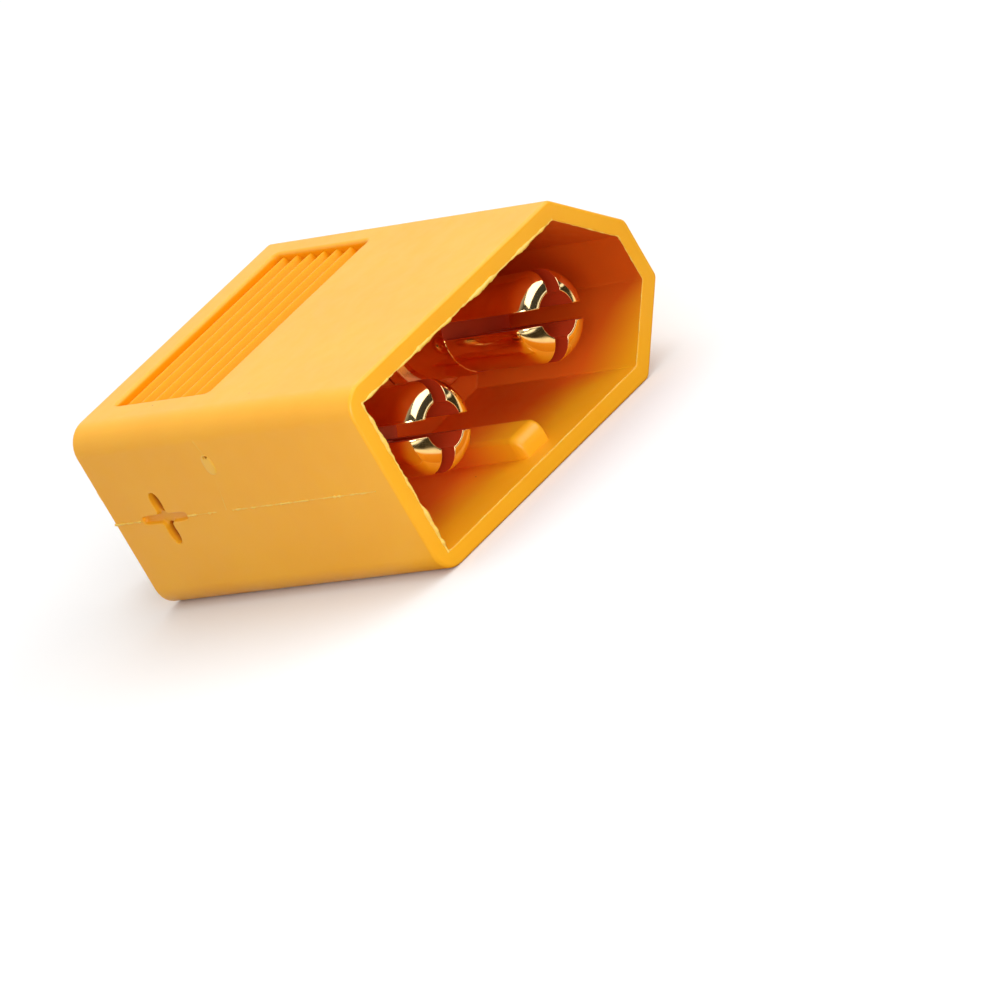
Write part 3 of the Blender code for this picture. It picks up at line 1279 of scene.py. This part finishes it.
    def passage_cutter(self, pole: Pole) -> Piece:
        """A turned cutter for one contact's collar seat and the hole that its cup passes.

        Args:
            pole: The contact's pole.

        Returns:
            The cutter.
        """
        back, rear = self.space.mouth_y + self.cavity_depth, self.space.rear_y
        seat, hole, brim = self.collar_seat_radius, self.passage_radius, self.passage_brim
        profile = [
            (seat, back - BITE),
            (seat, back + self.collar_seat_depth),
            (hole, back + self.collar_seat_depth),
            (hole, rear - brim),
            (hole + brim, rear),
            (hole + brim, rear + BITE),
        ]
        name, x = f"passage_{pole.name.lower()}", pole.value * self.space.pin_x
        return turned(name, profile, x, self.space.mid_height, self.passage_steps)

    def moulding_flash(self) -> list[Piece]:
        """Lays a bead of flash along every strand's path.

        Returns:
            One piece for each strand.
        """
        tree = self.flash_tree()
        pieces = []
        for seed, strand in enumerate(self.flash_strands()):
            values = {
                "Step": self.flash_step,
                "Thin Radius": strand.thin_radius,
                "Thick Radius": strand.thick_radius,
                "Raggedness": strand.raggedness,
                "Lump Length": strand.lump_length,
                "Bareness": strand.bareness,
                "Seed": float(seed),
                "Material": self.flash_nylon,
            }
            pieces.append(tree.run(strand.name, values, strand.path_mesh()))
        return pieces

    def flash_strands(self) -> list[FlashStrand]:
        """Where the housing carries flash, and how ragged it is there.

        Returns:
            The strands at the mouth, along the parting line and through the gate mark.
        """
        space, wall = self.space, self.rim_wall
        mouth = space.mouth_y + self.mouth_flash_rise
        ring = self.section(wall, mouth, self.cavity_square_round, self.cavity_chamfer_round)
        left, low, high = wall - space.half_width, wall, space.height - wall
        right = space.half_width - self.chamfer - wall * CHAMFER_LEAN
        corners = ((right, mouth, high), (left, mouth, high), (left, mouth, low))
        burr = [Vector(corner) for corner in corners]
        side, seam = -space.half_width, space.mid_height
        strands = [
            FlashStrand("mouth_flash", ring, 0.01 * MM, 0.04 * MM, 0.06 * MM, 0.45 * MM, 0.48, True),
            FlashStrand("mouth_burr", burr, 0.03 * MM, 0.115 * MM, 0.12 * MM, 0.7 * MM, 0.42),
        ]
        for start, end, thick, bareness in self.seam_runs:
            path = [Vector((side, start, seam)), Vector((side, end, seam))]
            name = f"parting_seam_{len(strands)}"
            strands.append(FlashStrand(name, path, 0.008 * MM, thick, 0.04 * MM, 0.24 * MM, bareness))
        witness = [Vector((side + self.witness_rise, y, z)) for y, z in self.witness_turns]
        strands.append(FlashStrand("gate_witness", witness, 0.0, 0.016 * MM, 0.02 * MM, 0.6 * MM, 0.3))
        return strands

    def flash_tree(self) -> GeometryTree:
        """A Geometry Nodes tree that lays a bead of ragged flash along a path.

        Returns:
            The tree.
        """
        tree = GeometryTree("moulding_flash")
        path = tree.input("Path", Socket.SHAPE)
        step, thin, thick, ragged, lump, bareness, seed = tree.inputs(
            Socket.LENGTH,
            "Step", "Thin Radius", "Thick Radius", "Raggedness", "Lump Length", "Bareness", "Seed",
        )
        curve = tree.make("GeometryNodeMeshToCurve", {0: path})
        spacing = {"Curve": curve, "Length": step}
        fine = tree.make("GeometryNodeResampleCurve", spacing, mode="LENGTH")
        noise = {"Vector": tree.make("GeometryNodeInputPosition"), "W": seed}
        lumpy = {**noise, "Scale": tree.math("DIVIDE", 1.0, lump), "Detail": self.flash_detail}
        lumps = tree.add("ShaderNodeTexNoise", lumpy, noise_dimensions="4D").outputs["Fac"]
        excess = tree.math("MULTIPLY", tree.math("SUBTRACT", lumps, bareness), self.flash_sharpness)
        burst = tree.math("MINIMUM", 1.0, tree.math("MAXIMUM", 0.0, excess))
        size = tree.math("MULTIPLY_ADD", burst, tree.math("SUBTRACT", thick, thin), thin)
        circle = {"Resolution": self.bead_faces, "Radius": 1.0}
        bead = tree.make("GeometryNodeCurvePrimitiveCircle", circle, mode="RADIUS")
        sweep = {"Curve": fine, "Profile Curve": bead, "Scale": size, "Fill Caps": True}
        strand = tree.make("GeometryNodeCurveToMesh", sweep)
        shivery = {**noise, "Scale": 1 / self.shiver_length, "Detail": self.shiver_detail}
        shiver = tree.add("ShaderNodeTexNoise", shivery, noise_dimensions="4D").outputs["Color"]
        middle = {0: shiver, 1: (0.5, 0.5, 0.5)}
        centred = tree.make("ShaderNodeVectorMath", middle, operation="SUBTRACT")
        stretch = {0: centred, "Scale": ragged}
        offset = tree.make("ShaderNodeVectorMath", stretch, operation="SCALE")
        tree.end(tree.make("GeometryNodeSetPosition", {"Geometry": strand, "Offset": offset}))
        return tree


@dataclass(frozen=True)
class Contact:
    """One turned contact: four domed petals, shank, collar and solder cup in one piece of metal."""

    space: PlugSpace
    pole: Pole
    crown_radius: float = 1.79 * MM
    root_radius: float = 1.72 * MM
    root_slope: float = 0.6 * MM
    shank_radius: float = 1.8 * MM
    bore_radius: float = 0.9 * MM
    bore_depth: float = 3.9 * MM
    slot_width: float = 0.62 * MM
    slot_depth: float = 4.6 * MM
    slot_turn: float = radians(-26.5)
    drill_angle: float = radians(59)
    drill_tip: float = 0.05 * MM
    collar_radius: float = 2.22 * MM
    collar_front: float = 7.3 * MM
    collar_length: float = 1.3 * MM
    collar_edge: float = 0.1 * MM
    cup_radius: float = 1.9 * MM
    cup_bore_radius: float = 1.5 * MM
    cup_bore_depth: float = 5.0 * MM
    cup_full_ring: float = 0.9 * MM
    cup_slope: float = 1.0 * MM
    cup_side_rise: float = 0.2 * MM
    round_steps: int = 96
    edge: float = 0.05 * MM
    petals: int = 4
    petal_steps: int = 20
    petal_sharp_angle: float = radians(50)
    corner_clear: float = 1.0005
    sink: float = 0.2 * MM
    sink_taper: float = 0.02 * MM

    @property
    def axis_x(self) -> float:
        """X of the contact's axis."""
        return self.pole.value * self.space.pin_x

    @property
    def slot_root(self) -> float:
        """Y of the saw cuts' floor."""
        return self.space.tip_y + self.slot_depth

    def build(self) -> Piece:
        """Builds and dresses the contact.

        Returns:
            The contact as one piece.
        """
        gold = self.finish().build()
        contact = self.build_body()
        combine(contact, "DIFFERENCE", self.scoop())
        soften(contact, self.edge)
        combine(contact, "UNION", self.build_petals(gold))
        shade(contact)
        hand_over(contact, gold, self.pole.node)
        return contact

    def finish(self) -> GoldFinish:
        """The gold finish, fitted to this contact's cuts.

        Returns:
            The finish.
        """
        return GoldFinish(
            name=f"gold_plating_{self.pole.name.lower()}",
            axis=(self.axis_x, 0.0, self.space.mid_height),
            turn=-self.slot_turn,
            cut_width=self.slot_width,
            bore_radius=self.bore_radius,
            cut_end=self.slot_root,
        )

    def build_body(self) -> Piece:
        """Shank, collar and solder cup, turned from one profile.

        Returns:
            The body as a solid, with the cup still round.
        """
        root = self.slot_root
        front = self.space.tip_y + self.collar_front
        rear = front + self.collar_length
        end = self.space.cup_end_y
        cup_floor = end - self.cup_bore_depth
        edge, tip = self.collar_edge, self.drill_tip
        collar, cup, bore = self.collar_radius, self.cup_radius, self.cup_bore_radius
        profile = [(self.root_radius, root), (self.shank_radius, root + self.root_slope)]
        profile.append((self.shank_radius, front))
        profile += quarter_round((collar - edge, front), (collar, front), (collar, front + edge))
        profile += [(collar, rear), (cup, rear), (cup, end), (bore, end), (bore, cup_floor)]
        profile.append((tip, cup_floor - (bore - tip) / tan(self.drill_angle)))
        name = f"{self.pole.node}_turned"
        return turned(name, profile, self.axis_x, self.space.mid_height, self.round_steps)

    def scoop(self) -> Piece:
        """The cutter that opens the upper half of the solder cup, with a sloped front.

        Returns:
            The cutter.
        """
        rear, end = self.space.rear_y, self.space.cup_end_y
        front = rear + self.cup_full_ring
        high, low = 2 * self.cup_radius, self.cup_side_rise
        lean = self.cup_slope / (self.cup_radius - low)
        outline = [
            (front - lean * (high - self.cup_radius), high),
            (front + self.cup_slope, low),
            (end + self.cup_radius, low),
            (end + self.cup_radius, high),
        ]
        rings = [
            [Vector((self.axis_x + x, y, self.space.mid_height + z)) for y, z in outline]
            for x in (-high, high)
        ]
        return loft(f"{self.pole.node}_scoop", rings)

    def petal(self) -> Piece:
        """One petal about an axis along Y through the origin, between two saw cuts.

        Returns:
            The petal as a solid that reaches into the shank.
        """
        half = self.slot_width / 2
        corner = half * 2**0.5 * self.corner_clear
        tip, crown, bore = self.space.tip_y, self.crown_radius, self.bore_radius
        dome, bore_floor = crown - bore, tip + self.bore_depth
        base = self.slot_root + self.sink
        loop = [(self.root_radius - self.sink_taper, base)]
        loop += quarter_round((crown, tip + dome), (crown, tip), (bore, tip), self.petal_steps)
        loop.append((bore, bore_floor))
        loop.append((corner, bore_floor + (bore - corner) / tan(self.drill_angle)))
        loop.append((corner, base))
        rings = []
        for step in range(self.petal_steps + 1):
            ring = []
            for radius, along in loop:
                start = asin(min(1.0, half / radius))
                angle = start + (pi / 2 - 2 * start) * step / self.petal_steps
                ring.append(Vector((radius * cos(angle), along, radius * sin(angle))))
            rings.append(ring)
        petal = loft("petal", rings)
        soften(petal, self.edge, angle=self.petal_sharp_angle)
        return petal

    def build_petals(self, gold: bpy.types.Material) -> Piece:
        """The ring of petals, made by a Geometry Nodes tree from one petal.

        Args:
            gold: Their finish.

        Returns:
            The petals in their place.
        """
        tree = GeometryTree("petal_ring")
        piece = tree.input("Petal", Socket.PIECE)
        count = tree.input("Count", Socket.COUNT)
        turn = tree.input("Turn", Socket.LENGTH)
        petal = tree.add("GeometryNodeObjectInfo", {"Object": piece}).outputs["Geometry"]
        points = tree.make("GeometryNodeMeshLine", {"Count": count, "Offset": (0.0, 0.0, 0.0)})
        index = tree.make("GeometryNodeInputIndex")
        share = tree.math("DIVIDE", tree.math("MULTIPLY", index, 2 * pi), count)
        angle = tree.make("ShaderNodeCombineXYZ", {"Y": tree.math("ADD", share, turn)})
        copies = {"Points": points, "Instance": petal, "Rotation": angle}
        tree.end(tree.make("GeometryNodeInstanceOnPoints", copies))

        single = self.petal()
        values = {"Petal": single, "Count": self.petals, "Turn": -self.slot_turn, "Material": gold}
        petals = tree.run(f"{self.pole.node}_petals", values)
        discard(single)
        petals.data.transform(Matrix.Translation((self.axis_x, 0.0, self.space.mid_height)))
        return petals


@dataclass(frozen=True)
class PhotoCamera:
    """The camera at the photograph's viewing angle."""

    target: tuple[float, float, float] = (3.550165 * MM, 0.0, -3.520508 * MM)
    distance: float = 391.977 * MM
    azimuth: float = radians(37.816)
    elevation: float = radians(19.303)
    roll: float = radians(-30.280)
    lens: float = 372.633
    sensor: float = 36.0
    clip: Point = (10 * MM, 10.0)

    def build(self) -> None:
        """Makes the camera and sets it as the scene's."""
        forward = Vector((
            sin(self.azimuth) * cos(self.elevation),
            cos(self.azimuth) * cos(self.elevation),
            -sin(self.elevation),
        ))
        level = forward.cross(Vector((0, 0, 1))).normalized()
        upright = level.cross(forward)
        right = level * cos(self.roll) + upright * sin(self.roll)
        up = right.cross(forward)
        data = bpy.data.cameras.new("photo_camera")
        data.lens = self.lens
        data.sensor_width = self.sensor
        data.clip_start, data.clip_end = self.clip
        camera = bpy.data.objects.new("photo_camera", data)
        turn = Matrix((right, up, -forward)).transposed()
        camera.matrix_world = Matrix.LocRotScale(
            Vector(self.target) - forward * self.distance, turn, None
        )
        bpy.context.scene.collection.objects.link(camera)
        bpy.context.scene.camera = camera


@dataclass(frozen=True)
class Softbox:
    """A soft rectangular lamp that looks at the plug."""

    name: str
    direction: tuple[float, float, float]
    size: tuple[float, float]
    power: float
    distance: float = 0.4

    def build(self) -> None:
        """Makes the lamp."""
        data = bpy.data.lights.new(self.name, "AREA")
        data.shape = "RECTANGLE"
        data.size, data.size_y = self.size
        data.energy = self.power
        lamp = bpy.data.objects.new(self.name, data)
        away = Vector(self.direction).normalized()
        lamp.location = away * self.distance
        lamp.rotation_euler = away.to_track_quat("Z", "Y").to_euler()
        lamp.visible_camera = False
        bpy.context.scene.collection.objects.link(lamp)


@dataclass(frozen=True)
class Studio:
    """The pale floor, the soft lamps and the surroundings."""

    floor_size: float = 0.5
    floor_colour: Colour = (0.875, 0.875, 0.875)
    # Painted shade from below: light bounces off the floor as this dim brown, while the camera sees the
    # floor white.
    bounce_colour: Colour = (0.42, 0.36, 0.28)
    # Painted reflection: Y of each place in front of the plug, and the floor's colour there that only
    # glossy rays see.
    mirrored_bands: tuple[tuple[float, Colour], ...] = (
        (-46 * MM, DARK),
        (-38 * MM, PALE),
        (-27 * MM, PALE),
        (-25 * MM, DARK),
        (-16.5 * MM, DARK),
        (-15.5 * MM, (0.9, 0.82, 0.66)),
        (-13.8 * MM, (0.9, 0.78, 0.56)),
        (-13.2 * MM, (0.75, 0.30, 0.02)),
        (-9 * MM, (0.70, 0.26, 0.015)),
        (-6 * MM, (0.85, 0.83, 0.78)),
    )
    softboxes: tuple[Softbox, ...] = (
        Softbox("front_softbox", (0.411, -0.685, 0.602), (0.54, 0.214), 0.91),
        Softbox("top_softbox", (0.4, 0.15, 1.0), (0.40, 0.40), 0.64),
        Softbox("side_softbox", (-0.60, -0.78, 0.30), (0.03, 0.03), 0.018, 0.07),
    )
    # What Y and Z count towards the glow from above, and X and Y towards the glow from the left.
    glow_from_above: Point = (0.6, 0.9)
    glow_from_left: Point = (-0.6, 0.2)
    glow_edge: Point = (0.15, 0.75)
    glow: Point = (0.05, 0.9)

    def build(self) -> None:
        """Makes the floor, lamps and world."""
        for softbox in self.softboxes:
            softbox.build()
        self.build_floor()
        self.build_world()

    def build_floor(self) -> None:
        """A white floor that keeps the plug's shadow and melts into the background."""
        mesh = bpy.data.meshes.new("floor")
        bm = bmesh.new()
        bmesh.ops.create_grid(bm, x_segments=1, y_segments=1, size=self.floor_size / 2)
        bm.to_mesh(mesh)
        bm.free()
        add_object("floor", mesh)

        graph = FinishGraph("floor_white")
        graph.tree.nodes.remove(graph.shader)
        ray = graph.add("ShaderNodeLightPath")
        camera, glossy = ray.outputs["Is Camera Ray"], ray.outputs["Is Glossy Ray"]
        plain = graph.mix(camera, self.bounce_colour, self.floor_colour)
        # Glossy rays see the painted reflection bands instead of the plain floor.
        colour = graph.mix(glossy, plain, self.mirrored_floor(graph))
        matt = graph.make("ShaderNodeBsdfDiffuse", {"Color": colour})
        graph.feed(graph.tree.nodes["Material Output"], {"Surface": matt})
        mesh.materials.append(graph.material)

    def mirrored_floor(self, graph: FinishGraph) -> Signal:
        """The painted reflection that the polished pins mirror: pale, dark and orange bands in front of the
        plug, seen on the floor by glossy rays only.

        Args:
            graph: The floor material's nodes.

        Returns:
            Their colour.
        """
        first, last = self.mirrored_bands[0][0], self.mirrored_bands[-1][0]
        share = graph.remap(graph.split(graph.place)["Y"], (first, last), WHOLE)
        bands = graph.add("ShaderNodeValToRGB", {0: share})
        stops = bands.color_ramp.elements
        for index, (y, colour) in enumerate(self.mirrored_bands):
            at = (y - first) / (last - first)
            stop = stops[index] if index < len(stops) else stops.new(at)
            stop.position = at
            stop.color = (*colour, 1.0)
        return bands.outputs["Color"]

    def build_world(self) -> None:
        """White behind the plug, and a soft studio with darker corners round it."""
        world = bpy.data.worlds.new("studio")
        bpy.context.scene.world = world
        world.use_nodes = True
        graph = NodeGraph(world.node_tree)
        x, y, z = graph.split(graph.add("ShaderNodeTexCoord").outputs["Generated"])
        above = graph.weigh(z, self.glow_from_above[1], y, self.glow_from_above[0])
        beside = graph.weigh(x, self.glow_from_left[0], y, self.glow_from_left[1])
        toward = graph.math("MAXIMUM", y, graph.math("MAXIMUM", above, beside))
        glow = graph.remap(toward, self.glow_edge, self.glow)
        ray = graph.add("ShaderNodeLightPath").outputs["Is Camera Ray"]
        strength = graph.math("MAXIMUM", ray, glow)
        background = world.node_tree.nodes["Background"]
        graph.feed(background, {"Strength": strength, "Color": (1.0, 1.0, 1.0, 1.0)})


def main() -> None:
    """Builds the plug and its studio, and reports each piece."""
    logging.basicConfig(level=logging.INFO, format="%(name)s %(message)s")
    scene = bpy.context.scene
    scene.view_settings.view_transform = "Standard"
    scene.cycles.max_bounces = 16
    scene.cycles.diffuse_bounces = 12
    scene.cycles.glossy_bounces = 8
    space = PlugSpace.from_frame()
    panel, marks, gate = GripPanel(space), PolarityMarks(space), GateMark(space)
    nylon = NylonFinish(space, panel, marks)
    # The flash is too thin to carry the cavity's painted shade, so for it that shade starts metres away.
    flash_nylon = replace(
        nylon,
        name="amber_nylon_flash",
        colour=(0.98, 0.66, 0.14),
        deep_colour=(0.97, 0.58, 0.07),
        deepening=(1.0, 2.0),
    )
    gate_nylon = replace(
        nylon,
        name="amber_nylon_gate",
        colour=(0.96, 0.53, 0.06),
        deep_colour=(0.95, 0.50, 0.04),
    )
    finishes = [finish.build() for finish in (nylon, flash_nylon, gate_nylon)]
    pieces = Housing(space, panel, marks, gate, *finishes).build()
    pieces += [Contact(space, pole).build() for pole in Pole]
    for piece in pieces:
        LOG.info("%s: %d faces", piece.name, len(piece.data.polygons))
    Studio().build()
    PhotoCamera().build()


if __name__ == "__main__":
    main()
